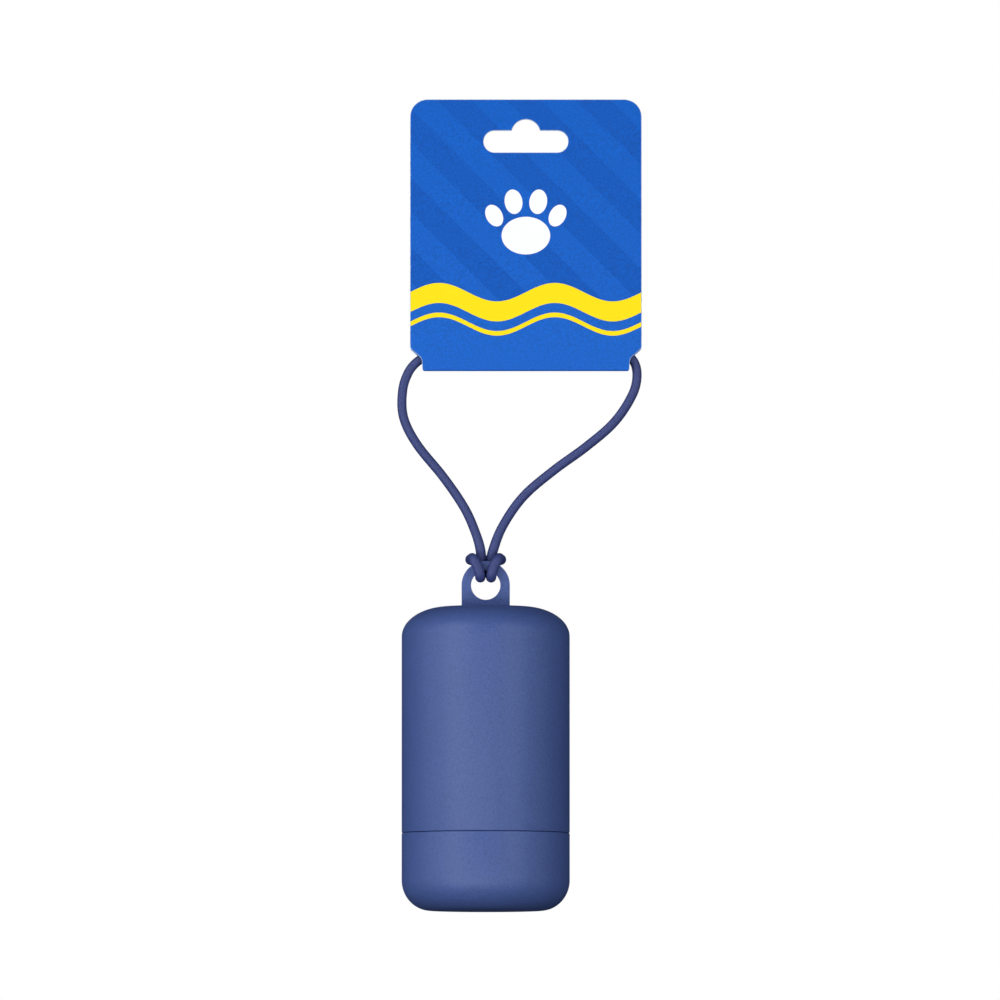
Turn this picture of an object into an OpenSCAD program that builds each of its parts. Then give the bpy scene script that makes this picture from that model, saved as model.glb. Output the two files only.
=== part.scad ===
// Dog poop bag dispenser: a capsule with a push-fit end cap, hung from a folded
// hang card by a rubber loop that is hitched to the capsule's lug.
// Millimetres. The origin is the hang point, at the top of the card's hang slot.
// +Z is up and the front faces -Y.

/* [Hang card] */
// Width of the card
card_w = 60; // [58.5:0.5:62]
// Height of the card, from its top edge to the fold
card_h = 70.6; // [70.6:0.2:76]
// Thickness of the board
board_t = 0.45; // [0.3:0.05:0.5]
// Radius of the two upper corners
card_corner_r = 4.5; // [2:0.5:8]
// Gap that the glue fills between the panels
glue_t = 0.2; // [0.1:0.05:0.3]

/* [Hang slot] */
// Length of the slot, end to end
slot_w = 21.9; // [16:0.1:30]
// Height of the slot's straight part
slot_h = 5.7; // [5:0.1:7]
// Radius of the arch over the middle of the slot
arch_r = 3.75; // [3:0.05:5]
// Rise of the arch above the slot
arch_rise = 2.9; // [2:0.1:3.5]
// Board left above the arch
top_margin = 5.2; // [4:0.2:6]

/* [Loop] */
// Thickness of the rubber loop
cord_d = 2.4; // [2:0.1:2.5]
// Height of the loop's run above the foot of the fold
run_rise = 4; // [3.8:0.1:4.4]

/* [Lug] */
// Width of the lug
lug_w = 12.5; // [12:0.1:12.8]
// Thickness of the lug
lug_t = 2.2; // [1.8:0.1:2.2]
// Diameter of the eye
eye_d = 7.6; // [7.6:0.1:8.2]
// Height of the eye's centre above the top of the dome
eye_rise = 5.5; // [5:0.1:6.5]
// Rounding of the lug's edges
lug_edge_r = 0.5; // [0.2:0.1:0.8]

/* [Capsule] */
// Diameter of the capsule
body_d = 43.5; // [42:0.5:48]
// Height of the capsule, from its base to the top of the dome
body_h = 78.8; // [78:0.2:90]
// Height of the end cap below the parting line
cap_h = 20.1; // [17:0.1:24]
// Thickness of the housing's wall
wall = 1.5; // [1.3:0.1:2]
// Width of the rounding from the dome to the side
shoulder_w = 12; // [10:0.5:16]
// Height of the rounding from the dome to the side
shoulder_h = 7.8; // [6:0.2:12]
// Width of the rounding from the side to the base
heel_w = 7.5; // [6.5:0.1:9]
// Height of the rounding from the side to the base
heel_h = 7.9; // [6:0.1:9]

/* [Bag slot] */
// Length of the slot that the bags are pulled through
bag_slot_h = 30; // [22:1:38]
// Width of the slot that the bags are pulled through
bag_slot_w = 6.6; // [5:0.1:8]
// Height of the slot's middle above the base
bag_slot_z = 44; // [42:1:50]

/* [End cap] */
// Length of the neck that pushes into the housing
neck_h = 7; // [5:0.5:9]
// Thickness of the neck
neck_wall = 1.3; // [1:0.1:1.6]
// Clearance between the neck and the housing, on the radius
neck_gap = 0.15; // [0.1:0.05:0.3]
// Thickness of the cap's floor
floor_t = 2; // [1.5:0.1:3]

/* [Roll] */
// Diameter of a full roll of bags
roll_d = 31; // [26:0.5:33]
// Length of the roll
roll_h = 62; // [55:0.5:63]
// Outer diameter of the cardboard core
core_d = 15; // [14:0.5:18]
// Thickness of the core's wall
core_wall = 0.9; // [0.6:0.1:1.2]

/* [Hidden] */
$fn = 96;
cut = 1; // how far a cutter runs past the surface that it cuts

// heights, from the hang point down
card_top = top_margin;
slot_top = -arch_rise;
fold_z = card_top - card_h;
run_z = fold_z + run_rise;
eye_drop = 59.4; // from the loop's run to the eye, set by the loop's route
eye_z = run_z - eye_drop;
dome_z = eye_z - eye_rise;
base_z = dome_z - body_h;
part_z = base_z + cap_h;

// the capsule hangs a little to the left of the card's middle
capsule_x = -10.4;

// card: the front panel is flat, and the back flap bulges round the loop's run
panel_y = (glue_t + board_t) / 2; // middle of the back panel's thickness
run_back = 1.9; // the loop's run lies this far behind the card's middle,
card_lean = asin(run_back / -run_z); // so the card hangs with its foot forward
flat_z = run_z + 14; // above this the flap lies flat on the panel
flap_angle = 29; // the flap rises this steeply from the fold
flap_reach = 4.7; // and stands this far behind the card's middle
crease_r = 0.4;
kink_r = 1.8;
ease_r = 14;
arc_steps = 6;
crease_z = fold_z + board_t / 2 - crease_r * (1 / tan((90 - flap_angle) / 2) - 1);
kink_z = crease_z + (flap_reach + panel_y) * tan(flap_angle);
notch_in = 3.25; // how far each lower corner is cut away
notch_mid = 3;
notch_high = 6;
notch_low = 3.3;
notch_r = 1.8; // rounding of the cut-away, then of its upper end and its foot
notch_end_r = 1.2;
foot_r = 0.6;
foot_clear = 0.05; // the outline passes this far under the fold
glue_w = 46;
glue_low = 16; // glue stops this far above the loop's run
glue_high = 4; // and this far below the hang slot

// capsule
body_r = body_d / 2;
bore_r = body_r - wall;
draft = 0.25; // the bore narrows by this much towards the dome
edge_r = 0.35; // rounding of the two edges at the parting line
part_gap = 0.1;
curve_steps = 20;
bead_rise = 0.1; // less than the neck's clearance, so the cap pulls off
bead_h = 1.2;
bead_z = part_z + 4;
groove_depth = 0.15;
lip_step = 0.4; // depth of the step round the bag slot
lip_w = 1.3;

// end cap inside
cap_bore_r = bore_r - neck_gap - neck_wall;
floor_z = base_z + floor_t;
floor_r = 5; // rounding between the floor and the bore
seat_r = 8.6; // the low step that the roll stands on
seat_h = 1;
peg_gap = 0.4;
peg_r = core_d / 2 - core_wall - peg_gap;
peg_h = 6;
peg_wall = 1.4;
peg_edge = 0.6;

// roll
roll_z = floor_z + seat_h;
roll_edge = 0.4;
sticker_t = 0.12;
sticker_angle = 75;
sticker_h = 18;
sticker_z = 22; // above the roll's foot
sticker_turn = 230;

// The loop's middle line, from the join inside the card's fold, down the left
// strand, round the lug, and up the right strand. Each place is measured from
// the run inside the fold. It closes on itself.
left_strand = [
    [0, 0, 0], [-22, 0, 0], [-25.2, 0, -0.1], [-27.8, 0, -1.2], [-30.3, 0, -4],
    [-31.9, 0, -8.8], [-31.7, 0.2, -15.8], [-28.3, 0.7, -22.7], [-21.3, 1.2, -31.4],
    [-15.8, 1.7, -39.5], [-12.9, 2.1, -46.1], [-11.7, 2.5, -50.6]
];
right_strand = [
    [-8.7, 2.5, -51], [-6.1, 2.1, -44.2], [-0.7, 1.6, -36.4], [7.2, 1.1, -29.6],
    [15.7, 0.7, -23.4], [23, 0.4, -17], [27.7, 0.1, -9.8], [28.8, 0, -4.8],
    [27.7, 0, -1], [25.2, 0, 0], [21, 0, 0]
];
// Half of the hitch, seen from the eye's centre: behind the lug, through the
// eye, up the front, over the lug's top and across the back.
half_hitch = [
    [-1.25, 2.5, 4.6], [-1.35, 2.15, 2.6], [-1.4, 0, 2.05], [-1.5, -2.15, 2.6],
    [-2.1, -2.5, 4.7], [-2.9, -2.3, 6.2], [-3.4, -1.1, 6.95], [-3.7, 0.9, 6.95],
    [-3.95, 2.8, 6.7], [-2.7, 4.8, 6.6]
];
bridge = [0, 5.2, 6.6];

function from_run(p) = p + [0, 0, run_z];
function from_eye(p) = p + [capsule_x, 0, eye_z];
function across(p) = [-p[0], p[1], p[2]];
function last_first(list) = [for (i = [len(list) - 1:-1:0]) list[i]];

route = concat(
    [for (p = left_strand) from_run(p)],
    [for (p = half_hitch) from_eye(p)],
    [from_eye(bridge)],
    [for (p = last_first(half_hitch)) from_eye(across(p))],
    [for (p = right_strand) from_run(p)]
);

// A closed curve through the route: each stretch gets one more point, midway.
function wrap(list, i) = list[(i + len(list)) % len(list)];
function midway(list, i) =
    (9 * (wrap(list, i) + wrap(list, i + 1)) - wrap(list, i - 1) - wrap(list, i + 2)) / 16;
function doubled(list) =
    [for (i = [0:len(list) - 1]) for (p = [list[i], midway(list, i)]) p];

function unit(v) = v / norm(v);
function heading(path, i) = unit(wrap(path, i + 1) - wrap(path, i - 1));
function squared(side, along) = unit(side - along * (side * along));

// The side direction of every ring, carried along the path without twisting.
function sides(path, side) =
    [for (i = 0, s = side; i < len(path); i = i + 1, s = squared(s, heading(path, i))) s];

function ring(centre, along, side, r, n) =
    [for (k = [0:n - 1])
        centre + r * (cos(k * 360 / n) * side + sin(k * 360 / n) * cross(along, side))];

// A tube round a closed path. The last ring meets the first one turned by as
// many faces as the path has twisted it.
module closed_tube(path, d, n) {
    side = sides(path, [0, 1, 0]);
    count = len(path);
    end_side = squared(side[count - 1], heading(path, 0));
    twist = atan2(end_side * cross(heading(path, 0), side[0]), end_side * side[0]);
    turn = (round(twist * n / 360) + n) % n;
    points = [for (i = [0:count - 1]) each ring(path[i], heading(path, i), side[i], d / 2, n)];
    faces = [
        for (i = [0:count - 1]) for (k = [0:n - 1])
            let (
                step = i < count - 1 ? 0 : n - turn,
                a = i * n + k,
                b = i * n + (k + 1) % n,
                c = ((i + 1) % count) * n + (k + 1 + step) % n,
                e = ((i + 1) % count) * n + (k + step) % n
            )
            each [[a, c, b], [a, e, c]]
    ];
    polyhedron(points, faces);
}

// An outline corner rounded to radius r, as points from one side to the other.
function rounded(before, corner, after, r) =
    let (
        u = unit(before - corner),
        v = unit(after - corner),
        half = acos(u * v) / 2,
        middle = corner + unit(u + v) * r / sin(half),
        start = corner + u * r / tan(half) - middle,
        way = cross([u[0], u[1], 0], [v[0], v[1], 0])[2] > 0 ? -1 : 1,
        sweep = way * (180 - 2 * half)
    )
    [for (k = [0:arc_steps])
        let (a = k * sweep / arc_steps)
        middle + [start[0] * cos(a) - start[1] * sin(a), start[0] * sin(a) + start[1] * cos(a)]];

function outward(list, i) =
    let (d = unit(list[min(i + 1, len(list) - 1)] - list[max(i - 1, 0)])) [d[1], -d[0]];

// A strip of even thickness along an open line.
function strip(line, t) = concat(
    [for (i = [0:len(line) - 1]) line[i] + outward(line, i) * t / 2],
    [for (i = [len(line) - 1:-1:0]) line[i] - outward(line, i) * t / 2]
);

// Part of an ellipse, as points from one angle to another.
function oval(centre, a, b, from, to) =
    [for (k = [0:curve_steps])
        let (t = from + (to - from) * k / curve_steps)
        centre + [a * cos(t), b * sin(t)]];

module hang_card() {
    color("royalblue")
    rotate([-card_lean, 0, 0])
    difference() {
        intersection() {
            card_sheet();
            card_outline();
        }
        hang_slot();
    }
}

// The folded board, seen from the side and drawn across the card's width: down
// the front panel, round the fold, and up the flap to the back panel.
module card_sheet() {
    front_top = [-panel_y, card_top];
    crease = [-panel_y, crease_z];
    kink = [flap_reach, kink_z];
    bend = [panel_y, flat_z];
    back_top = [panel_y, card_top];
    line = concat(
        [front_top],
        rounded(front_top, crease, kink, crease_r),
        rounded(crease, kink, bend, kink_r),
        rounded(kink, bend, back_top, ease_r),
        [back_top]
    );
    rotate([90, 0, 90])
        linear_extrude(card_w, center = true)
            polygon(strip(line, board_t));
}

// The card's outline from the front: round upper corners, cut lower corners.
module card_outline() {
    depth = 4 * run_rise;
    half = card_w / 2;
    corner_x = half - card_corner_r;
    corner_z = card_top - card_corner_r;
    side = [half, corner_z];
    notch_end = [half, fold_z + notch_high];
    notch = [half - notch_mid, fold_z + notch_low];
    foot = [half - notch_in, fold_z - foot_clear];
    right = concat(
        rounded([0, foot[1]], foot, notch, foot_r),
        rounded(foot, notch, notch_end, notch_r),
        rounded(notch, notch_end, side, notch_end_r),
        oval([corner_x, corner_z], card_corner_r, card_corner_r, 0, 90)
    );
    left = [for (p = last_first(right)) [-p[0], p[1]]];
    rotate([90, 0, 0])
        linear_extrude(depth, center = true)
            polygon(concat(right, left));
}

module hang_slot() {
    end_r = slot_h / 2;
    rotate([90, 0, 0])
        linear_extrude(4 * board_t + glue_t + 2 * cut, center = true) {
            translate([end_r - slot_w / 2, slot_top - slot_h])
                square([slot_w - slot_h, slot_h]);
            for (side = [-1, 1])
                translate([side * (slot_w / 2 - end_r), slot_top - end_r])
                    circle(end_r);
            translate([0, -arch_r])
                circle(arch_r);
        }
}

module card_adhesive() {
    low = run_z + glue_low;
    high = slot_top - slot_h - glue_high;
    color("ivory")
    rotate([-card_lean, 0, 0])
    translate([-glue_w / 2, -glue_t / 2, low])
        cube([glue_w, glue_t, high - low]);
}

module cord_loop() {
    color("midnightblue")
    closed_tube(doubled(route), cord_d, 8);
}

module housing() {
    color("slateblue")
    translate([capsule_x, 0, 0]) {
        difference() {
            union() {
                rotate_extrude()
                    polygon(housing_profile());
                lug();
            }
            bag_slot();
        }
    }
}

// Half of the shell's section: outside from the mouth to the dome, then inside.
function housing_profile() =
    let (
        mouth = part_z + part_gap / 2,
        crown_w = shoulder_w - wall,
        crown_h = shoulder_h - wall,
        top_r = bore_r - draft
    )
    concat(
        [[bore_r + edge_r, mouth], [body_r - edge_r, mouth], [body_r, mouth + edge_r]],
        oval([body_r - shoulder_w, dome_z - shoulder_h], shoulder_w, shoulder_h, 0, 90),
        [[0, dome_z], [0, dome_z - wall]],
        oval([top_r - crown_w, dome_z - wall - crown_h], crown_w, crown_h, 90, 0),
        [
            [bore_r, part_z + neck_h + cut], [bore_r, bead_z + bead_h],
            [bore_r + groove_depth, bead_z + bead_h / 2],
            [bore_r, bead_z], [bore_r, mouth + edge_r]
        ]
    );

// A ring round the eye, and below it a flat foot that runs into the dome.
module lug() {
    ring_w = (lug_w - eye_d) / 2;
    foot = wall * 0.6;
    translate([0, 0, eye_z])
        rotate([90, 0, 0])
            rotate_extrude()
                translate([eye_d / 2, -lug_t / 2])
                    soft_rectangle(ring_w, lug_t, lug_edge_r);
    difference() {
        translate([0, 0, dome_z - foot])
            linear_extrude(eye_rise + foot)
                translate([-lug_w / 2, -lug_t / 2])
                    soft_rectangle(lug_w, lug_t, lug_edge_r);
        translate([0, 0, eye_z])
            rotate([90, 0, 0])
                cylinder(h = lug_t + 2 * cut, r = (eye_d + ring_w) / 2, center = true);
    }
}

// A rectangle with its four corners rounded.
module soft_rectangle(w, h, r) {
    translate([r, 0])
        square([w - 2 * r, h]);
    translate([0, r])
        square([w, h - 2 * r]);
    for (x = [r, w - r], y = [r, h - r])
        translate([x, y])
            circle(r);
}

// The slot at the back that the bags are pulled through, with a step round it.
module bag_slot() {
    slot_prism(bag_slot_w, bag_slot_h);
    difference() {
        slot_prism(bag_slot_w + 2 * lip_w, bag_slot_h + 2 * lip_w);
        translate([0, 0, base_z])
            cylinder(h = body_h, r = body_r - lip_step);
    }
}

module slot_prism(w, h) {
    translate([0, bore_r / 2, base_z + bag_slot_z])
        rotate([-90, 0, 0])
            linear_extrude(body_r) {
                square([w, h - w], center = true);
                for (side = [-1, 1])
                    translate([0, side * (h - w) / 2])
                        circle(w / 2);
            }
}

module end_cap() {
    color("slateblue")
    translate([capsule_x, 0, 0]) {
        rotate_extrude()
            polygon(cap_profile());
        rotate_extrude()
            polygon(peg_profile());
    }
}

// Half of the cup's section: base and side outside, neck, then the bore inside.
function cap_profile() =
    let (
        rim = part_z - part_gap / 2,
        neck_r = bore_r - neck_gap,
        neck_top = part_z + neck_h
    )
    concat(
        [[0, floor_z], [0, base_z]],
        oval([body_r - heel_w, base_z + heel_h], heel_w, heel_h, -90, 0),
        [
            [body_r, rim - edge_r], [body_r - edge_r, rim], [neck_r, rim],
            [neck_r, bead_z], [neck_r + bead_rise, bead_z + bead_h / 2],
            [neck_r, bead_z + bead_h], [neck_r, neck_top - edge_r],
            [neck_r - edge_r, neck_top], [cap_bore_r, neck_top]
        ],
        oval([cap_bore_r - floor_r, floor_z + floor_r], floor_r, floor_r, 0, -90)
    );

// The step that the roll stands on and the hollow peg that centres its core.
function peg_profile() = [
    [peg_r - peg_wall, floor_z - floor_t / 2], [seat_r, floor_z - floor_t / 2],
    [seat_r, roll_z], [peg_r, roll_z], [peg_r, roll_z + peg_h - peg_edge],
    [peg_r - peg_edge, roll_z + peg_h], [peg_r - peg_wall, roll_z + peg_h]
];

module roll_core() {
    color("peru")
    translate([capsule_x, 0, roll_z])
        rotate_extrude()
            translate([core_d / 2 - core_wall, 0])
                square([core_wall, roll_h]);
}

module bag_roll() {
    inner = core_d / 2;
    outer = roll_d / 2;
    color("darkslategray")
    translate([capsule_x, 0, roll_z])
        rotate_extrude()
            polygon([
                [inner, 0], [outer - roll_edge, 0], [outer, roll_edge],
                [outer, roll_h - roll_edge], [outer - roll_edge, roll_h], [inner, roll_h]
            ]);
}

module roll_sticker() {
    color("white")
    translate([capsule_x, 0, roll_z + sticker_z])
        rotate([0, 0, sticker_turn])
            rotate_extrude(angle = sticker_angle)
                translate([roll_d / 2, 0])
                    square([sticker_t, sticker_h]);
}

hang_card();
card_adhesive();
cord_loop();
housing();
end_cap();
roll_core();
bag_roll();
roll_sticker();
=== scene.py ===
from math import atan2, cos, pi, radians, sin, tan

import bmesh
import bpy
from mathutils import Matrix, Vector


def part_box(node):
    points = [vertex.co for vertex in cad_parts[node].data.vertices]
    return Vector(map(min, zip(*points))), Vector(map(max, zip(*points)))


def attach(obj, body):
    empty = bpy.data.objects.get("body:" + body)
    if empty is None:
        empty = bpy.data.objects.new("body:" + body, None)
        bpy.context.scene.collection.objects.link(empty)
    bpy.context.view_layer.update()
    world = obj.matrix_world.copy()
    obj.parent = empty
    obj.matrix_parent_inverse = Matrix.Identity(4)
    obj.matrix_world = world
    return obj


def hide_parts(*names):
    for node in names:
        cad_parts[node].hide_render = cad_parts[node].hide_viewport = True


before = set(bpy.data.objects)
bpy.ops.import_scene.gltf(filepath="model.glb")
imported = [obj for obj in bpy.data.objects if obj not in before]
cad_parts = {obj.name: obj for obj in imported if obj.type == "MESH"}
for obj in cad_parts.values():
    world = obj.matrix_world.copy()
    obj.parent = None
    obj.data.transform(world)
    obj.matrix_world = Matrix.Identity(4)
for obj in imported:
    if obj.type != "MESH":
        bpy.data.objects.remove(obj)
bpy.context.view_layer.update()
mm = 0.001
sharpAngle = 35  # degrees that two faces may turn before their edge is drawn sharp
onEdge = Matrix.Rotation(pi / 2, 4, "X")  # stands a flat circle or a drum up to face the front

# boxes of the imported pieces, which every new piece is fitted to
cardLow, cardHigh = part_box("hang_card")
shellLow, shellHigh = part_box("housing")
capLow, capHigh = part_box("end_cap")
coreLow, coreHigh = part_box("roll_core")
rollLow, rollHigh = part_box("bag_roll")
stickerLow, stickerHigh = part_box("roll_sticker")
# the capsule stands round this upright axis, with the roll inside it
axisX = (shellLow.x + shellHigh.x) / 2
bodyR = (shellHigh.x - shellLow.x) / 2
rollR = (rollHigh.x - rollLow.x) / 2


camera = {
    "span": 259 * mm,  # width and height of what the picture takes in
    "aim": (-6.7 * mm, 0, -98.7 * mm),
    "elevation": -2.5,  # degrees, from a little below
    "distance": 6.0,
    "clipEnd": 24.0,
}


def aimFrom(name, data, azimuth, elevation, distance):
    # stands a camera or a light on a sphere round the aim, turned towards it
    stand = bpy.data.objects.new(name, data)
    bpy.context.scene.collection.objects.link(stand)
    turn, rise = radians(azimuth), radians(elevation)
    away = Vector((sin(turn) * cos(rise), -cos(turn) * cos(rise), sin(rise)))
    stand.location = Vector(camera["aim"]) + away * distance
    stand.rotation_euler = (-away).to_track_quat("-Z", "Y").to_euler()
    return stand


def placeCamera():
    data = bpy.data.cameras.new("camera")
    data.sensor_fit = "HORIZONTAL"
    data.angle = 2 * atan2(camera["span"] / 2, camera["distance"])
    data.clip_end = camera["clipEnd"]
    eye = aimFrom("camera", data, 0, camera["elevation"], camera["distance"])
    bpy.context.scene.camera = eye


placeCamera()
print("camera placed")


def linear(code):
    # sRGB hex to the linear colour that shaders take
    parts = [int(code[i:i + 2], 16) / 255 for i in (1, 3, 5)]
    return [p / 12.92 if p <= 0.04045 else ((p + 0.055) / 1.055) ** 2.4
            for p in parts] + [1]


def addNode(tree, kind, settings=None, inputs=None):
    node = tree.nodes.new(kind)
    for name, value in (settings or {}).items():
        setattr(node, name, value)
    for name, value in (inputs or {}).items():
        if isinstance(value, bpy.types.NodeSocket):
            tree.links.new(value, node.inputs[name])
        else:
            node.inputs[name].default_value = value
    return node


def startMaterial(name, **surface):
    # a new material: its even values are set on its shader, and place is where a
    # pattern is read on the piece
    material = bpy.data.materials.new(name)
    material.use_nodes = True
    tree = material.node_tree
    shader = tree.nodes["Principled BSDF"]
    for socket, value in surface.items():
        shader.inputs[socket.replace("_", " ")].default_value = value
    place = addNode(tree, "ShaderNodeTexCoord").outputs["Object"]
    return material, tree, shader, place


def feedShader(shader, **sources):
    # links what varies over the surface to the shader
    for socket, source in sources.items():
        shader.id_data.links.new(source, shader.inputs[socket.replace("_", " ")])


def placePiece(name, bm, body=None, replaces=(), materials=(), sharp=sharpAngle):
    mesh = bpy.data.meshes.new(name)
    bm.to_mesh(mesh)
    bm.free()
    piece = bpy.data.objects.new(name, mesh)
    bpy.context.scene.collection.objects.link(piece)
    for material in materials:
        mesh.materials.append(material)
    mesh.shade_smooth()
    mesh.set_sharp_from_angle(angle=radians(sharp))
    if body:
        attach(piece, body)
    if replaces:
        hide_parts(*replaces)
    return piece


def carve(piece, cutter, operation="DIFFERENCE"):
    # cuts the piece with a cutter, whose own material goes on the cut faces
    cut = piece.modifiers.new("carve", "BOOLEAN")
    cut.object, cut.operation, cut.solver = cutter, operation, "EXACT"
    cut.material_mode = "TRANSFER"
    bpy.context.view_layer.update()
    graph = bpy.context.evaluated_depsgraph_get()
    carved = bpy.data.meshes.new_from_object(piece.evaluated_get(graph))
    piece.modifiers.clear()
    piece.data = carved
    carved.set_sharp_from_angle(angle=radians(sharpAngle))
    bpy.data.objects.remove(cutter)


def addPoints(bm, points):
    # a run of joined points in the XZ plane
    run = [bm.verts.new((x, 0, z)) for x, z in points]
    for a, b in zip(run, run[1:]):
        bm.edges.new((a, b))
    return run


def addArc(bm, centre, radii, start, sweep, steps):
    # a run along part of an ellipse in the XZ plane
    others = set(bm.verts)
    first = bm.verts.new((cos(radians(start)), 0, sin(radians(start))))
    spun = bmesh.ops.spin(bm, geom=[first], cent=(0, 0, 0), axis=(0, -1, 0),
                          angle=radians(sweep), steps=steps, use_merge=False)
    run = [v for v in bm.verts if v not in others]
    bmesh.ops.scale(bm, vec=(radii[0], 1, radii[1]), verts=run)
    bmesh.ops.translate(bm, vec=(centre[0], 0, centre[1]), verts=run)
    return [first, spun["geom_last"][0]]


def joinRuns(bm, *runs):
    for a, b in zip(runs, runs[1:]):
        bm.edges.new((a[-1], b[0]))


def roundCorners(bm, corners, slide, segments):
    # slide is how far from the corner each rounding starts
    bmesh.ops.bevel(bm, geom=corners, offset=slide, offset_type="OFFSET", segments=segments,
                    profile=0.5, affect="VERTICES", material=-1)


def roundEdges(bm, edges, width, segments, clamp=False):
    # gives back the new faces
    return bmesh.ops.bevel(bm, geom=edges, offset=width, offset_type="OFFSET",
                           segments=segments, profile=0.5, affect="EDGES", material=-1,
                           clamp_overlap=clamp)["faces"]


def pull(bm, extruded, vec):
    # moves what an extrusion has just made
    moved = [v for v in extruded["geom"] if isinstance(v, bmesh.types.BMVert)]
    bmesh.ops.translate(bm, vec=vec, verts=moved)


def spinRound(bm, steps, atX=axisX):
    # turns the half section once round the upright axis and closes its seam and poles
    bmesh.ops.spin(bm, geom=bm.verts[:] + bm.edges[:], cent=(0, 0, 0), axis=(0, 0, 1),
                   angle=2 * pi, steps=steps, use_merge=True)
    bmesh.ops.remove_doubles(bm, verts=bm.verts, dist=0.001 * mm)
    bmesh.ops.recalc_face_normals(bm, faces=bm.faces)
    bmesh.ops.translate(bm, vec=(atX, 0, 0), verts=bm.verts)


# Moulded ABS with a fine spark-eroded face: dull, even and a little silky.
def mouldedPlastic():
    material, tree, shader, place = startMaterial(
        "moulded ABS, blue violet", Roughness=0.46, IOR=1.5, Specular_IOR_Level=0.35)
    # the batch colour drifts slightly over some 15 mm, and the grain is 0.45 mm,
    # coarser than the real 0.05 mm so that it shows
    drift = addNode(tree, "ShaderNodeTexNoise", inputs={
        "Vector": place, "Scale": 1 / (15 * mm), "Detail": 2.0})
    grain = addNode(tree, "ShaderNodeTexNoise", inputs={
        "Vector": place, "Scale": 1 / (0.45 * mm), "Detail": 2.0, "Roughness": 0.6})
    tint = addNode(tree, "ShaderNodeMix", {"data_type": "RGBA"}, {
        "Factor": drift.outputs["Fac"], "A": linear("#455A95"), "B": linear("#415690")})
    # the grain's pits are painted darker and its tops lighter, as painted shade and light
    shade = addNode(tree, "ShaderNodeMapRange", inputs={
        "Value": grain.outputs["Fac"], "From Min": 0.3, "From Max": 0.7,
        "To Min": 0.83, "To Max": 1.17})
    grained = addNode(tree, "ShaderNodeVectorMath", {"operation": "SCALE"}, {
        0: tint.outputs["Result"], "Scale": shade.outputs["Result"]})
    gloss = addNode(tree, "ShaderNodeMapRange", inputs={
        "Value": grain.outputs["Fac"], "To Min": 0.42, "To Max": 0.52})
    relief = addNode(tree, "ShaderNodeBump", inputs={
        "Strength": 0.3, "Distance": 0.03 * mm, "Height": grain.outputs["Fac"]})
    feedShader(shader, Base_Color=grained.outputs["Vector"], Roughness=gloss.outputs["Result"],
               Normal=relief.outputs["Normal"])
    return material


shellPlastic = mouldedPlastic()


# the loop is one rubber ring, run through the card's fold and hitched to the lug
loop = {
    "thickness": 2.4 * mm,
    "run": (0, 0, -61.4),  # the join inside the fold, in mm
    "eye": (-10.4, 0, -120.8),  # the middle of the lug's eye
    "left": [(0, 0, 0), (-22, 0, 0), (-25.2, 0, -0.1), (-27.8, 0, -1.2), (-30.3, 0, -4),
             (-31.9, 0, -8.8), (-31.7, 0.2, -15.8), (-28.3, 0.7, -22.7), (-21.3, 1.2, -31.4),
             (-15.8, 1.7, -39.5), (-12.9, 2.1, -46.1), (-11.7, 2.5, -50.6)],
    "right": [(-8.7, 2.5, -51), (-6.1, 2.1, -44.2), (-0.7, 1.6, -36.4), (7.2, 1.1, -29.6),
              (15.7, 0.7, -23.4), (23, 0.4, -17), (27.7, 0.1, -9.8), (28.8, 0, -4.8),
              (27.7, 0, -1), (25.2, 0, 0), (21, 0, 0), (0.2, 0, 0)],
    # behind the lug, through the eye, up the front, over the top and across the back
    "halfHitch": [(-1.25, 2.5, 4.6), (-1.35, 2.15, 2.6), (-1.4, 0, 2.05), (-1.5, -2.15, 2.6),
                  (-2.1, -2.5, 4.7), (-2.9, -2.3, 6.2), (-3.4, -1.1, 6.95), (-3.7, 0.9, 6.95),
                  (-3.95, 2.8, 6.7), (-2.7, 4.8, 6.6)],
    "bridge": (0, 5.2, 6.6),
    "exit": (-26.8, 0, -61.4),
    "length": 228 * mm,
    "swell": 1.14,  # the rubber bulges where the hitch bends and squeezes it
    "swellFrom": 46 * mm, "swellOver": 8 * mm,  # below the run, and in this length
}


# Moulded silicone rubber: satin, a little darker than the shell, with a faint skin.
def mouldedRubber():
    material, tree, shader, place = startMaterial(
        "moulded silicone rubber", Roughness=0.5, IOR=1.43, Specular_IOR_Level=0.35)
    # the tint drifts over some 6 mm, and the skin is 0.3 mm, coarser than the real
    # one so that it shows
    drift = addNode(tree, "ShaderNodeTexNoise", inputs={
        "Vector": place, "Scale": 1 / (6 * mm), "Detail": 3.0})
    skin = addNode(tree, "ShaderNodeTexNoise", inputs={
        "Vector": place, "Scale": 1 / (0.3 * mm), "Detail": 2.0})
    tint = addNode(tree, "ShaderNodeMix", {"data_type": "RGBA"}, {
        "Factor": drift.outputs["Fac"], "A": linear("#353F74"), "B": linear("#3D487C")})
    # the skin's hollows are painted darker and its tops lighter, as painted shade and light
    shade = addNode(tree, "ShaderNodeMapRange", inputs={
        "Value": skin.outputs["Fac"], "From Min": 0.3, "From Max": 0.7,
        "To Min": 0.84, "To Max": 1.16})
    skinned = addNode(tree, "ShaderNodeVectorMath", {"operation": "SCALE"}, {
        0: tint.outputs["Result"], "Scale": shade.outputs["Result"]})
    gloss = addNode(tree, "ShaderNodeMapRange", inputs={
        "Value": skin.outputs["Fac"], "To Min": 0.42, "To Max": 0.58})
    relief = addNode(tree, "ShaderNodeBump", inputs={
        "Strength": 0.15, "Distance": 0.03 * mm, "Height": skin.outputs["Fac"]})
    feedShader(shader, Base_Color=skinned.outputs["Vector"], Roughness=gloss.outputs["Result"],
               Normal=relief.outputs["Normal"])
    return material


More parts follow.
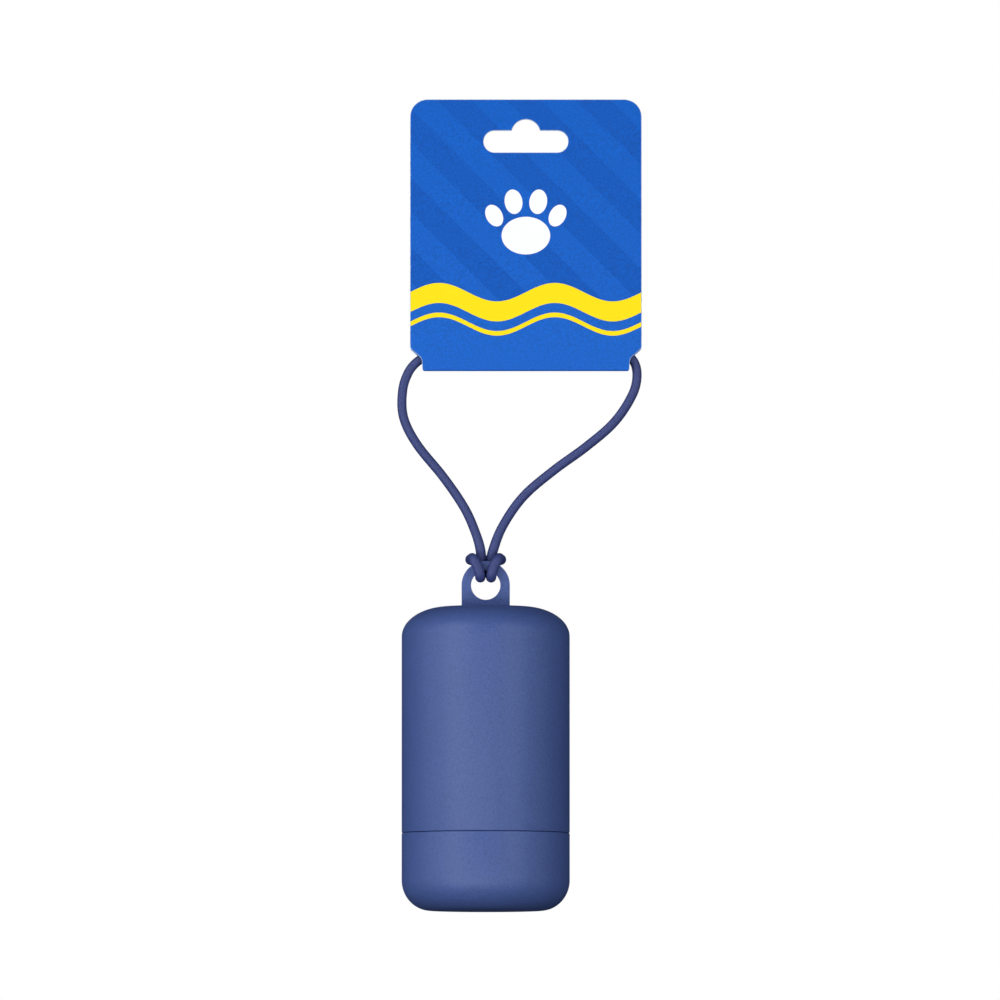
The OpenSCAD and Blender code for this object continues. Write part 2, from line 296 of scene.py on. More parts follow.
def loopRoute():
    run, eye = Vector(loop["run"]), Vector(loop["eye"])
    half = [Vector(p) for p in loop["halfHitch"]]
    otherHalf = [Vector((-p.x, p.y, p.z)) for p in reversed(half)]
    hitch = [eye + p for p in half + [Vector(loop["bridge"])] + otherHalf]
    left, right = ([run + Vector(p) for p in loop[side]] for side in ("left", "right"))
    return [p * mm for p in left + hitch + right]


def makeLoop(material):
    route, run = loopRoute(), Vector(loop["run"]) * mm
    curve = bpy.data.curves.new("rubber_loop", "CURVE")
    curve.dimensions = "3D"
    curve.bevel_depth = loop["thickness"] / 2
    curve.bevel_resolution = 6
    curve.resolution_u = 8
    curve.use_fill_caps = True
    line = curve.splines.new("BEZIER")
    line.bezier_points.add(len(route) - 1)
    for i, (knot, place) in enumerate(zip(line.bezier_points, route)):
        before, after = route[max(i - 1, 0)], route[min(i + 1, len(route) - 1)]
        along = (after - before).normalized()
        knot.co = place
        knot.handle_left_type = knot.handle_right_type = "FREE"
        knot.handle_left = place - along * (place - before).length / 3
        knot.handle_right = place + along * (after - place).length / 3
        depth = run.z - place.z
        squeezed = min(max((depth - loop["swellFrom"]) / loop["swellOver"], 0), 1)
        knot.radius = 1 + (loop["swell"] - 1) * squeezed
    curve.materials.append(material)
    piece = bpy.data.objects.new("rubber_loop", curve)
    bpy.context.scene.collection.objects.link(piece)
    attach(piece, "lanyard")
    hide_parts("cord_loop")


makeLoop(mouldedRubber())
print("loop made")


# the hang card is one printed sheet: a flat front, and a flap folded up behind the loop
card = {
    "board": 0.45 * mm, "glue": 0.2 * mm, "top": 5.2 * mm, "height": 70.6 * mm,
    "spare": 2 * mm,  # the sheet starts this much larger than the outline cut from it
    "cutDepth": 20 * mm,  # how deep the cutting blocks are
    "lean": 1.773,  # degrees that the card hangs out of plumb, its foot forward
    "cornerSlide": 4.5 * mm,
    "notchIn": 3.25 * mm, "notchMid": 3 * mm, "notchHigh": 6 * mm, "notchLow": 3.3 * mm,
    "footSlide": 0.55 * mm, "notchSlide": 0.72 * mm, "endSlide": 0.53 * mm,
    "footClear": 0.05 * mm,  # the outline passes this far under the fold
    "flatRise": 18 * mm,  # above this the flap lies flat on the front panel
    "creaseDip": 0.054 * mm,  # how far below the foot the panel and the flap would meet
    "flapAngle": 29, "flapReach": 4.7 * mm,  # degrees up from level, and how far back it goes
    "bendSlide": 1.97 * mm, "kinkSlide": 1.43 * mm, "creaseSlide": 0.68 * mm,
    "slotWidth": 21.9 * mm, "slotHeight": 5.7 * mm, "archRise": 2.9 * mm, "archR": 3.75 * mm,
    "slotRound": 0.99,  # share of half the slot's height, so that its roundings don't meet
    "cutChamfer": 0.12 * mm,
    "fibre": 0.5 * mm, "ply": 0.15 * mm,  # spacing of the board's fibres and plies as drawn
    "waveLength": 30 * mm, "waveSwing": 2.4 * mm, "waveZ": -47.5 * mm, "waveHalf": 2.6 * mm,
    "lineZ": -53.2 * mm, "lineHalf": 0.6 * mm,
    "stripe": 9 * mm,
    "pawZ": -27 * mm,
    # pad and toes of the paw print in mm: place from its middle, half sizes, turn in degrees
    "paw": [((0, -3.2), (6.3, 4.9), 0), ((-3.2, 5.6), (2.3, 3.2), -8),
            ((3.2, 5.6), (2.3, 3.2), 8), ((-8.2, 2), (2.1, 3), -28), ((8.2, 2), (2.1, 3), 28)],
}


# Offset print under a matt laminate: strong flat colours with a soft even sheen.
def printedBoard():
    material, tree, shader, place = startMaterial(
        "offset print under matt laminate", Roughness=0.6, IOR=1.5, Specular_IOR_Level=0.2)
    axes = addNode(tree, "ShaderNodeSeparateXYZ", inputs={"Vector": place})
    x, z = axes.outputs["X"], axes.outputs["Z"]
    # slanting stripes, as wide as the spaces between them
    slant = addNode(tree, "ShaderNodeMath", {"operation": "ADD"}, {0: x, 1: z})
    pairs = addNode(tree, "ShaderNodeMath", {"operation": "DIVIDE"}, {
        0: slant.outputs["Value"], 1: 2 * card["stripe"]})
    across = addNode(tree, "ShaderNodeMath", {"operation": "FRACT"}, {0: pairs.outputs["Value"]})
    stripes = addNode(tree, "ShaderNodeMath", {"operation": "LESS_THAN"}, {
        0: across.outputs["Value"], 1: 0.5})
    # the level over a wave, which bounds a plain foot, a band and a thin line below the band
    turns = addNode(tree, "ShaderNodeMath", {"operation": "MULTIPLY"}, {
        0: x, 1: 2 * pi / card["waveLength"]})
    sway = addNode(tree, "ShaderNodeMath", {"operation": "SINE"}, {0: turns.outputs["Value"]})
    wave = addNode(tree, "ShaderNodeMath", {"operation": "MULTIPLY"}, {
        0: sway.outputs["Value"], 1: card["waveSwing"]})
    level = addNode(tree, "ShaderNodeMath", {"operation": "SUBTRACT"}, {
        0: z, 1: wave.outputs["Value"]}).outputs["Value"]
    foot = addNode(tree, "ShaderNodeMath", {"operation": "LESS_THAN"}, {
        0: level, 1: card["waveZ"]})
    band = addNode(tree, "ShaderNodeMath", {"operation": "COMPARE"}, {
        0: level, 1: card["waveZ"], 2: card["waveHalf"]})
    line = addNode(tree, "ShaderNodeMath", {"operation": "COMPARE"}, {
        0: level, 1: card["lineZ"], 2: card["lineHalf"]})
    # a paw print on the front only
    paw = 0
    for (px, pz), (rx, rz), turn in card["paw"]:
        spot = addNode(tree, "ShaderNodeMapping", {"vector_type": "TEXTURE"}, {
            "Vector": place,
            "Location": (px * mm, 0, card["pawZ"] + pz * mm),
            "Rotation": (0, radians(turn), 0), "Scale": (rx * mm, 1, rz * mm)})
        reach = addNode(tree, "ShaderNodeVectorMath", {"operation": "LENGTH"}, {
            0: spot.outputs["Vector"]})
        oval = addNode(tree, "ShaderNodeMath", {"operation": "LESS_THAN"}, {
            0: reach.outputs["Value"], 1: 1.0})
        paw = addNode(tree, "ShaderNodeMath", {"operation": "MAXIMUM"}, {
            0: paw, 1: oval.outputs["Value"]}).outputs["Value"]
    middleY = addNode(tree, "ShaderNodeMath", {"operation": "MULTIPLY"}, {
        0: z, 1: tan(radians(card["lean"]))})
    front = addNode(tree, "ShaderNodeMath", {"operation": "LESS_THAN"}, {
        0: axes.outputs["Y"], 1: middleY.outputs["Value"]})
    frontPaw = addNode(tree, "ShaderNodeMath", {"operation": "MULTIPLY"}, {
        0: paw, 1: front.outputs["Value"]})

    # the blue field, deeper towards the top, with the stripes a tone darker
    height = addNode(tree, "ShaderNodeMapRange", inputs={
        "Value": z, "From Min": cardLow.z, "From Max": cardHigh.z})
    ink = addNode(tree, "ShaderNodeMix", {"data_type": "RGBA"}, {
        "Factor": height.outputs["Result"],
        "A": linear("#0D5DC2"), "B": linear("#005ABD")}).outputs["Result"]
    for where, blue in (stripes, "#0054B5"), (foot, "#0E5FC3"):
        ink = addNode(tree, "ShaderNodeMix", {"data_type": "RGBA"}, {
            "Factor": where.outputs["Value"], "A": ink, "B": linear(blue)}).outputs["Result"]
    # the blue lies a little unevenly on the fibres, drawn coarser than real so that it shows
    fibre = addNode(tree, "ShaderNodeTexNoise", inputs={
        "Vector": place, "Scale": 1 / card["fibre"], "Detail": 3.0, "Roughness": 0.6})
    gain = addNode(tree, "ShaderNodeMapRange", inputs={
        "Value": fibre.outputs["Fac"], "From Min": 0.3, "From Max": 0.7,
        "To Min": 0.82, "To Max": 1.18})
    ink = addNode(tree, "ShaderNodeVectorMath", {"operation": "SCALE"}, {
        0: ink, "Scale": gain.outputs["Result"]}).outputs["Vector"]
    # the yellow and the white lie evenly over it
    for where, cover in (band, "#F8DE08"), (line, "#F8DE08"), (frontPaw, "#F4F6FA"):
        ink = addNode(tree, "ShaderNodeMix", {"data_type": "RGBA"}, {
            "Factor": where.outputs["Value"], "A": ink, "B": linear(cover)}).outputs["Result"]
    gloss = addNode(tree, "ShaderNodeMapRange", inputs={
        "Value": fibre.outputs["Fac"], "To Min": 0.54, "To Max": 0.68})
    relief = addNode(tree, "ShaderNodeBump", inputs={
        "Strength": 0.1, "Distance": 0.03 * mm, "Height": fibre.outputs["Fac"]})
    feedShader(shader, Base_Color=ink, Roughness=gloss.outputs["Result"],
               Normal=relief.outputs["Normal"])
    return material


# The die-cut edge of white board: dull, with its plies showing as soft lines.
def cutBoard():
    material, tree, shader, place = startMaterial(
        "die-cut edge of white board", Roughness=0.85, IOR=1.45)
    # at a scale of 1 a wave runs 20 radians to the metre
    plies = addNode(tree, "ShaderNodeTexWave", {"bands_direction": "Y"}, {
        "Vector": place, "Scale": 2 * pi / (20 * card["ply"]), "Distortion": 2.0, "Detail": 2.0})
    tint = addNode(tree, "ShaderNodeMix", {"data_type": "RGBA"}, {
        "Factor": plies.outputs["Fac"], "A": linear("#98B4DC"), "B": linear("#B9CBE8")})
    feedShader(shader, Base_Color=tint.outputs["Result"])
    return material


# Hot-melt glue: milky, waxy and softly shining.
def meltGlue():
    material, tree, shader, place = startMaterial(
        "hot-melt glue", Roughness=0.35, IOR=1.48, Subsurface_Weight=0.2)
    flow = addNode(tree, "ShaderNodeTexNoise", inputs={
        "Vector": place, "Scale": 1 / (4 * mm), "Detail": 3.0})
    tint = addNode(tree, "ShaderNodeMix", {"data_type": "RGBA"}, {
        "Factor": flow.outputs["Fac"], "A": linear("#E9E0C4"), "B": linear("#D9CDA8")})
    feedShader(shader, Base_Color=tint.outputs["Result"])
    return material


def outlineBlock(name, corners, depth, material):
    # a flat outline given as (x, z, slide of its rounding), pulled into a block along Y
    bm = bmesh.new()
    verts = [bm.verts.new((x, -depth / 2, z)) for x, z, slide in corners]
    bm.faces.new(verts)
    for vert, (x, z, slide) in zip(verts, corners):
        roundCorners(bm, [vert], slide, 8)
    pull(bm, bmesh.ops.extrude_face_region(bm, geom=bm.faces[:]), (0, depth, 0))
    bmesh.ops.recalc_face_normals(bm, faces=bm.faces)
    return placePiece(name, bm, materials=[material])


def chamferCuts(piece, width):
    # the blade leaves a narrow white chamfer along every cut; the carving's tiny edges
    # go first, because they would stop it
    bm = bmesh.new()
    bm.from_mesh(piece.data)
    bmesh.ops.dissolve_degenerate(bm, dist=0.01 * mm, edges=bm.edges)
    rims = [e for e in bm.edges if len(e.link_faces) == 2
            and e.link_faces[0].material_index != e.link_faces[1].material_index]
    white = max(f.material_index for f in bm.faces)
    for face in roundEdges(bm, rims, width, 2):
        face.material_index = white
    bm.to_mesh(piece.data)
    bm.free()


def makeCard(printed, edge):
    top, fold = card["top"], card["top"] - card["height"]
    half = (cardHigh.x - cardLow.x) / 2
    panelY = (card["glue"] + card["board"]) / 2
    flatZ = fold + card["flatRise"]
    creaseZ = fold - card["creaseDip"]
    kinkZ = creaseZ + (card["flapReach"] + panelY) * tan(radians(card["flapAngle"]))
    over, deep = card["spare"], card["cutDepth"]

    bm = bmesh.new()
    section = [(-panelY, top + over), (-panelY, creaseZ), (card["flapReach"], kinkZ),
               (panelY, flatZ), (panelY, top + over)]
    line = [bm.verts.new((-half - over, y, z)) for y, z in section]
    for a, b in zip(line, line[1:]):
        bm.edges.new((a, b))
    for corner, bend in zip(line[1:-1], ("creaseSlide", "kinkSlide", "bendSlide")):
        roundCorners(bm, [corner], card[bend], 8)
    pull(bm, bmesh.ops.extrude_edge_only(bm, edges=bm.edges[:]), (2 * (half + over), 0, 0))
    bmesh.ops.recalc_face_normals(bm, faces=bm.faces)
    sheet = placePiece("printed_card", bm, materials=[printed, edge])
    wall = sheet.modifiers.new("board", "SOLIDIFY")
    wall.thickness, wall.offset, wall.use_even_offset = card["board"], 0, True

    # the die-cut outline, and the slot with the arch over its middle
    right = [
        (half - card["notchIn"], fold - card["footClear"], card["footSlide"]),
        (half - card["notchMid"], fold + card["notchLow"], card["notchSlide"]),
        (half, fold + card["notchHigh"], card["endSlide"]),
        (half, top, card["cornerSlide"]),
    ]
    left = [(-x, z, slide) for x, z, slide in reversed(right)]
    carve(sheet, outlineBlock("outline", right + left, deep, edge), "INTERSECT")
    slotTop = -card["archRise"]
    slotFoot = slotTop - card["slotHeight"]
    end, side = card["slotWidth"] / 2, card["slotHeight"] / 2 * card["slotRound"]
    slot = [(-end, slotFoot, side), (end, slotFoot, side),
            (end, slotTop, side), (-end, slotTop, side)]
    carve(sheet, outlineBlock("slot", slot, deep, edge))
    archR = card["archR"]
    bm = bmesh.new()
    bmesh.ops.create_cone(bm, cap_ends=True, segments=96, radius1=archR, radius2=archR,
                          depth=deep, matrix=onEdge)
    bmesh.ops.translate(bm, vec=(0, 0, -archR), verts=bm.verts)
    carve(sheet, placePiece("arch", bm, materials=[edge]))
    chamferCuts(sheet, card["cutChamfer"])
    sheet.data.transform(Matrix.Rotation(radians(-card["lean"]), 4, "X"))
    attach(sheet, "card")
    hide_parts("hang_card")


makeCard(printedBoard(), cutBoard())
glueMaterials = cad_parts["card_adhesive"].data.materials
glueMaterials.clear()
glueMaterials.append(meltGlue())
print("card made")


# the housing is a domed tube with a lug on top and a bag slot at the back
shell = {
    "wall": 1.5 * mm, "draft": 0.25 * mm, "edge": 0.25 * mm, "gap": 0.1 * mm,
    "shoulder": (12 * mm, 7.8 * mm),
    "lugWidth": 12.5 * mm, "lugThick": 2.2 * mm, "lugEdge": 0.5 * mm,
    "lugSink": 0.6,  # share of the wall that the lug goes down into the dome
    "eye": 7.6 * mm, "eyeRise": 5.5 * mm,
    # the fillet at the lug's foot, and how it runs on under the lug and into the dome
    "lugFillet": 0.9 * mm, "filletLap": 0.3 * mm, "filletInset": 0.01 * mm,
    "filletSink": 0.2 * mm, "filletLift": 0.005 * mm,
    "slotWidth": 6.6 * mm, "slotHeight": 30 * mm, "slotRise": 44 * mm,
    "lipWidth": 1.3 * mm, "lipDepth": 0.4 * mm,
    "neck": 7 * mm, "boreOver": 1 * mm,  # the bore stays straight this far past the neck
    "beadRise": 4 * mm, "beadHeight": 1.2 * mm, "groove": 0.15 * mm,
}
eyeZ = shellHigh.z - shell["lugWidth"] / 2
domeZ = eyeZ - shell["eyeRise"]
baseZ = capLow.z
partZ = capHigh.z - shell["neck"]
boreR = bodyR - shell["wall"]


def shellSection(bm):
    # half of the tube's section: outside from the mouth up, then the inside down
    wide, high = shell["shoulder"]
    mouth, wall = partZ + shell["gap"] / 2, shell["wall"]
    topR = boreR - shell["draft"]
    rim = addPoints(bm, [(boreR, mouth), (bodyR, mouth)])
    outside = addArc(bm, (bodyR - wide, domeZ - high), (wide, high), 0, 90, 28)
    poles = addPoints(bm, [(0, domeZ)]), addPoints(bm, [(0, domeZ - wall)])
    inside = addArc(bm, (topR - wide + wall, domeZ - high), (wide - wall, high - wall),
                    90, -90, 16)
    bead, beadHeight = partZ + shell["beadRise"], shell["beadHeight"]
    groove = addPoints(bm, [
        (boreR, partZ + shell["neck"] + shell["boreOver"]), (boreR, bead + beadHeight),
        (boreR + shell["groove"], bead + beadHeight / 2), (boreR, bead)])
    joinRuns(bm, rim, outside, poles[0])
    joinRuns(bm, poles[1], inside, groove, rim)
    roundCorners(bm, rim, shell["edge"], 4)


def addLug(bm):
    # an eye plate: a ring of two circles, its lower half pulled down into the dome
    outer = bmesh.ops.create_circle(bm, segments=72, radius=shell["lugWidth"] / 2,
                                    cap_ends=False, matrix=onEdge)["verts"]
    bmesh.ops.create_circle(bm, segments=72, radius=shell["eye"] / 2, cap_ends=False,
                            matrix=onEdge)
    foot = shell["eyeRise"] + shell["lugSink"] * shell["wall"]
    low = [v for v in outer if v.co.z < -0.01 * mm]  # not the two points at the sides
    bmesh.ops.scale(bm, vec=(1, 1, 0), verts=low)
    bmesh.ops.translate(bm, vec=(0, 0, -foot), verts=low)
    bmesh.ops.bridge_loops(bm, edges=bm.edges[:])
    pull(bm, bmesh.ops.extrude_face_region(bm, geom=bm.faces[:]), (0, shell["lugThick"], 0))
    bmesh.ops.translate(bm, vec=(axisX, -shell["lugThick"] / 2, eyeZ), verts=bm.verts)
    bmesh.ops.recalc_face_normals(bm, faces=bm.faces)
    rims = [e for e in bm.edges if len(e.link_faces) == 2 and e.calc_face_angle() > radians(60)]
    roundEdges(bm, rims, shell["lugEdge"], 5, clamp=True)


def addLugFoot(bm):
    # a small fillet where the lug grows out of the dome: a step, rounded in its inner corner
    fillet, inset = shell["lugFillet"], shell["filletInset"]
    wide, deep = shell["lugWidth"] / 2 - inset, shell["lugThick"] / 2 - inset
    corners = [bm.verts.new((x * wide, y * deep, 0))
               for x, y in ((-1, -1), (1, -1), (1, 1), (-1, 1))]
    bm.faces.new(corners)
    roundCorners(bm, corners, shell["lugEdge"] * 0.9, 5)  # a touch under the lug's own edge
    step = bmesh.ops.inset_region(bm, faces=bm.faces[:], thickness=fillet + shell["filletLap"],
                                  use_outset=True, use_even_offset=True)["faces"]
    middle = [f for f in bm.faces if f not in step]
    raised = bmesh.ops.extrude_face_region(bm, geom=middle)
    bmesh.ops.delete(bm, geom=middle, context="FACES_ONLY")
    pull(bm, raised, (0, 0, fillet + shell["filletLap"]))
    inner = [e for e in bm.edges if len(e.link_faces) == 2
             and (e.link_faces[0] in step) != (e.link_faces[1] in step)]
    roundEdges(bm, inner, fillet, 6)
    rim = [v for v in bm.verts if v.is_boundary]
    bmesh.ops.translate(bm, vec=(0, 0, -shell["filletSink"]), verts=rim)
    bmesh.ops.translate(bm, vec=(axisX, 0, domeZ + shell["filletLift"]), verts=bm.verts)
    bmesh.ops.holes_fill(bm, edges=[e for e in bm.edges if e.is_boundary], sides=0)
    bmesh.ops.recalc_face_normals(bm, faces=bm.faces)


def slotBlock(name, wide, high):
    # a round-ended slot from inside the tube out through its back
    bm = bmesh.new()
    verts = bmesh.ops.create_circle(bm, segments=64, radius=wide / 2, cap_ends=True,
                                    matrix=onEdge)["verts"]
    for side in (1, -1):
        bmesh.ops.translate(bm, vec=(0, 0, side * (high - wide) / 2),
                            verts=[v for v in verts if v.co.z * side > 0])
    pull(bm, bmesh.ops.extrude_face_region(bm, geom=bm.faces[:]), (0, bodyR, 0))
    bmesh.ops.recalc_face_normals(bm, faces=bm.faces)
    bmesh.ops.translate(bm, vec=(axisX, bodyR / 2, baseZ + shell["slotRise"]), verts=bm.verts)
    return placePiece(name, bm, materials=[shellPlastic])


def makeHousing():
    bm = bmesh.new()
    shellSection(bm)
    spinRound(bm, 180)
    housing = placePiece("housing_shell", bm, materials=[shellPlastic])
    # the step round the slot keeps the tube's curve, so a drum is taken out of its block
    lip = slotBlock("lip", shell["slotWidth"] + 2 * shell["lipWidth"],
                    shell["slotHeight"] + 2 * shell["lipWidth"])
    bm = bmesh.new()
    drumR = bodyR - shell["lipDepth"]
    bmesh.ops.create_cone(bm, cap_ends=True, segments=180, radius1=drumR, radius2=drumR,
                          depth=2 * shell["slotRise"])
    bmesh.ops.translate(bm, vec=(axisX, 0, baseZ + shell["slotRise"]), verts=bm.verts)
    carve(lip, placePiece("drum", bm, materials=[shellPlastic]))
    carve(housing, lip)
    carve(housing, slotBlock("bag slot", shell["slotWidth"], shell["slotHeight"]))
    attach(housing, "housing")
    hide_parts("housing")

    bm = bmesh.new()
    addLug(bm)
    lug = placePiece("lug", bm, "housing", materials=[shellPlastic], sharp=40)
    lug.modifiers.new("even", "WEIGHTED_NORMAL").keep_sharp = True
    bm = bmesh.new()
    addLugFoot(bm)
    placePiece("lug_foot", bm, "housing", materials=[shellPlastic])


makeHousing()
print("housing made")


# the end cap is a cup whose neck pushes into the housing, with a peg for the roll
cap = {
    "heel": (7.5 * mm, 7.9 * mm), "neckWall": 1.3 * mm, "neckGap": 0.15 * mm, "bead": 0.1 * mm,
    "floor": 2 * mm, "floorRound": 5 * mm, "seatR": 8.6 * mm, "seatRise": 1 * mm,
    "pegR": 6.2 * mm, "pegRise": 6 * mm, "pegWall": 1.4 * mm, "pegEdge": 0.5 * mm,
}


def makeCap():
    bm = bmesh.new()
    wide, high = cap["heel"]
    rim = partZ - shell["gap"] / 2
    neckR = boreR - cap["neckGap"]
    innerR = neckR - cap["neckWall"]
    floorZ, floorRound = baseZ + cap["floor"], cap["floorRound"]
    bead, beadHeight = partZ + shell["beadRise"], shell["beadHeight"]
    seatR, seatZ = cap["seatR"], floorZ + cap["seatRise"]
    pegR, pegTop = cap["pegR"], seatZ + cap["pegRise"]
    pegInner = pegR - cap["pegWall"]
    foot = addPoints(bm, [(0, baseZ)])
    heel = addArc(bm, (bodyR - wide, baseZ + high), (wide, high), -90, 90, 24)
    edge = addPoints(bm, [(bodyR, rim)])
    neck = addPoints(bm, [
        (neckR, rim), (neckR, bead), (neckR + cap["bead"], bead + beadHeight / 2),
        (neckR, bead + beadHeight)])
    lips = addPoints(bm, [(neckR, capHigh.z), (innerR, capHigh.z)])
    corner = addArc(bm, (innerR - floorRound, floorZ + floorRound), (floorRound, floorRound),
                    0, -90, 10)
    seat = addPoints(bm, [(seatR, floorZ), (seatR, seatZ), (pegR, seatZ), (pegR, pegTop),
                          (pegInner, pegTop), (pegInner, floorZ), (0, floorZ)])
    joinRuns(bm, foot, heel, edge, neck, lips, corner, seat)
    roundCorners(bm, edge + lips, shell["edge"], 4)
    roundCorners(bm, [seat[1], seat[3], seat[4]], cap["pegEdge"], 4)
    spinRound(bm, 180)
    placePiece("cap_cup", bm, "end_cap", ["end_cap"], [shellPlastic])


makeCap()
print("cap made")


# the roll is wound film on a card core, with its label and its loose end
film = {
    "coreWall": 0.9 * mm, "coreEdge": 0.15 * mm,
    "strip": 28 * mm,  # width of the board that the core is wound from
    "seatGap": 0.02 * mm,  # the core turns just clear of its seat
    "edge": 0.4 * mm, "step": 0.3 * mm, "columns": 120,
    "stepClose": 0.85,  # share of a column that the last one closes up by, for a steep step
    "layer": 0.35 * mm,  # of film, as drawn on the roll's ends
    "label": 0.12 * mm, "bandHalf": 3 * mm,
    "labelAngle": 75, "labelTurn": 230,  # degrees that it reaches round, and where it starts
    "tailHeight": 0.97,  # share of the roll's length
    "tailReach": 6 * mm, "tailLift": 1.4 * mm, "tailThick": 0.1 * mm,
    "tailSunk": 0.12 * mm,  # the tail starts this far under the roll's outside
    "tailHeld": 1 * mm, "tailFree": 10 * mm,  # held past the label, then loosening over
    # ripples along the tail's edge: height, rise in a radian, start in radians
    "ripples": [(0.25 * mm, 3.1 * mm, 0), (0.15 * mm, 1.3 * mm, 1)],
}
tailTurn = radians(film["labelTurn"] + film["labelAngle"] / 2)  # the film ends under the label


# Grey-brown chipboard wound in a slanting strip: dull, speckled with fibre.
def woundBoard():
    material, tree, shader, place = startMaterial(
        "spiral-wound chipboard", Roughness=0.88, IOR=1.45)
    centred = addNode(tree, "ShaderNodeMapping", inputs={
        "Vector": place, "Location": (-axisX, 0, 0)})
    axes = addNode(tree, "ShaderNodeSeparateXYZ", inputs={"Vector": centred.outputs["Vector"]})
    angle = addNode(tree, "ShaderNodeMath", {"operation": "ARCTAN2"}, {
        0: axes.outputs["Y"], 1: axes.outputs["X"]})
    turns = addNode(tree, "ShaderNodeMath", {"operation": "DIVIDE"}, {
        0: angle.outputs["Value"], 1: 2 * pi})
    # the seam climbs by the strip's width in a turn
    climb = addNode(tree, "ShaderNodeMath", {"operation": "MULTIPLY_ADD"}, {
        0: axes.outputs["Z"], 1: 1 / film["strip"], 2: turns.outputs["Value"]})
    along = addNode(tree, "ShaderNodeMath", {"operation": "FRACT"}, {0: climb.outputs["Value"]})
    seam = addNode(tree, "ShaderNodeMath", {"operation": "COMPARE"}, {
        0: along.outputs["Value"], 1: 0.5, 2: 0.012})
    speck = addNode(tree, "ShaderNodeTexNoise", inputs={
        "Vector": place, "Scale": 1 / (0.6 * mm), "Detail": 4.0, "Roughness": 0.7})
    tint = addNode(tree, "ShaderNodeMix", {"data_type": "RGBA"}, {
        "Factor": speck.outputs["Fac"], "A": linear("#8F7352"), "B": linear("#B79A73")})
    seamed = addNode(tree, "ShaderNodeMix", {"data_type": "RGBA"}, {
        "Factor": seam.outputs["Value"], "A": tint.outputs["Result"], "B": linear("#6E573C")})
    relief = addNode(tree, "ShaderNodeBump", inputs={
        "Strength": 0.4, "Distance": 0.05 * mm, "Height": speck.outputs["Fac"]})
    feedShader(shader, Base_Color=seamed.outputs["Result"], Normal=relief.outputs["Normal"])
    return material


# Wound polythene film: a soft waxy gloss, fine wrinkles, and at the roll's ends
# the edges of its layers.
def woundFilm():
    material, tree, shader, place = startMaterial(
        "wound polythene film", Roughness=0.38, IOR=1.51)
    centred = addNode(tree, "ShaderNodeMapping", inputs={
        "Vector": place, "Location": (-axisX, 0, 0), "Scale": (1, 1, 0)})
    reach = addNode(tree, "ShaderNodeVectorMath", {"operation": "LENGTH"}, {
        0: centred.outputs["Vector"]})
    # the real layers are 0.03 mm, drawn coarser so that they show
    layers = addNode(tree, "ShaderNodeMath", {"operation": "PINGPONG"}, {
        0: reach.outputs["Value"], 1: film["layer"] / 2})
    layerDepth = addNode(tree, "ShaderNodeMath", {"operation": "DIVIDE"}, {
        0: layers.outputs["Value"], 1: film["layer"] / 2})
    # the wrinkles are 2.5 mm apart and run four times as long up the roll
    upright = addNode(tree, "ShaderNodeMapping", inputs={"Vector": place, "Scale": (1, 1, 0.25)})
    wrinkles = addNode(tree, "ShaderNodeTexNoise", inputs={
        "Vector": upright.outputs["Vector"], "Scale": 1 / (2.5 * mm),
        "Detail": 4.0, "Roughness": 0.55})
    tint = addNode(tree, "ShaderNodeMix", {"data_type": "RGBA"}, {
        "Factor": wrinkles.outputs["Fac"], "A": linear("#23262C"), "B": linear("#34383F")})
    edges = addNode(tree, "ShaderNodeBump", inputs={
        "Strength": 0.35, "Distance": 0.08 * mm, "Height": layerDepth.outputs["Value"]})
    relief = addNode(tree, "ShaderNodeBump", inputs={
        "Strength": 0.5, "Distance": 0.15 * mm, "Height": wrinkles.outputs["Fac"],
        "Normal": edges.outputs["Normal"]})
    feedShader(shader, Base_Color=tint.outputs["Result"], Normal=relief.outputs["Normal"])
    return material


# Coated label paper with one printed band: smooth and nearly dull.
def labelPaper():
    material, tree, shader, place = startMaterial(
        "coated label paper", Roughness=0.55, IOR=1.5)
    axes = addNode(tree, "ShaderNodeSeparateXYZ", inputs={"Vector": place})
    band = addNode(tree, "ShaderNodeMath", {"operation": "COMPARE"}, {
        0: axes.outputs["Z"], 1: (stickerLow.z + stickerHigh.z) / 2, 2: film["bandHalf"]})
    tooth = addNode(tree, "ShaderNodeTexNoise", inputs={
        "Vector": place, "Scale": 1 / (0.4 * mm), "Detail": 3.0})
    paper = addNode(tree, "ShaderNodeMix", {"data_type": "RGBA"}, {
        "Factor": tooth.outputs["Fac"], "A": linear("#EDEBE4"), "B": linear("#F7F6F2")})
    tint = addNode(tree, "ShaderNodeMix", {"data_type": "RGBA"}, {
        "Factor": band.outputs["Value"], "A": paper.outputs["Result"], "B": linear("#2467CC")})
    relief = addNode(tree, "ShaderNodeBump", inputs={
        "Strength": 0.1, "Distance": 0.03 * mm, "Height": tooth.outputs["Fac"]})
    feedShader(shader, Base_Color=tint.outputs["Result"], Normal=relief.outputs["Normal"])
    return material


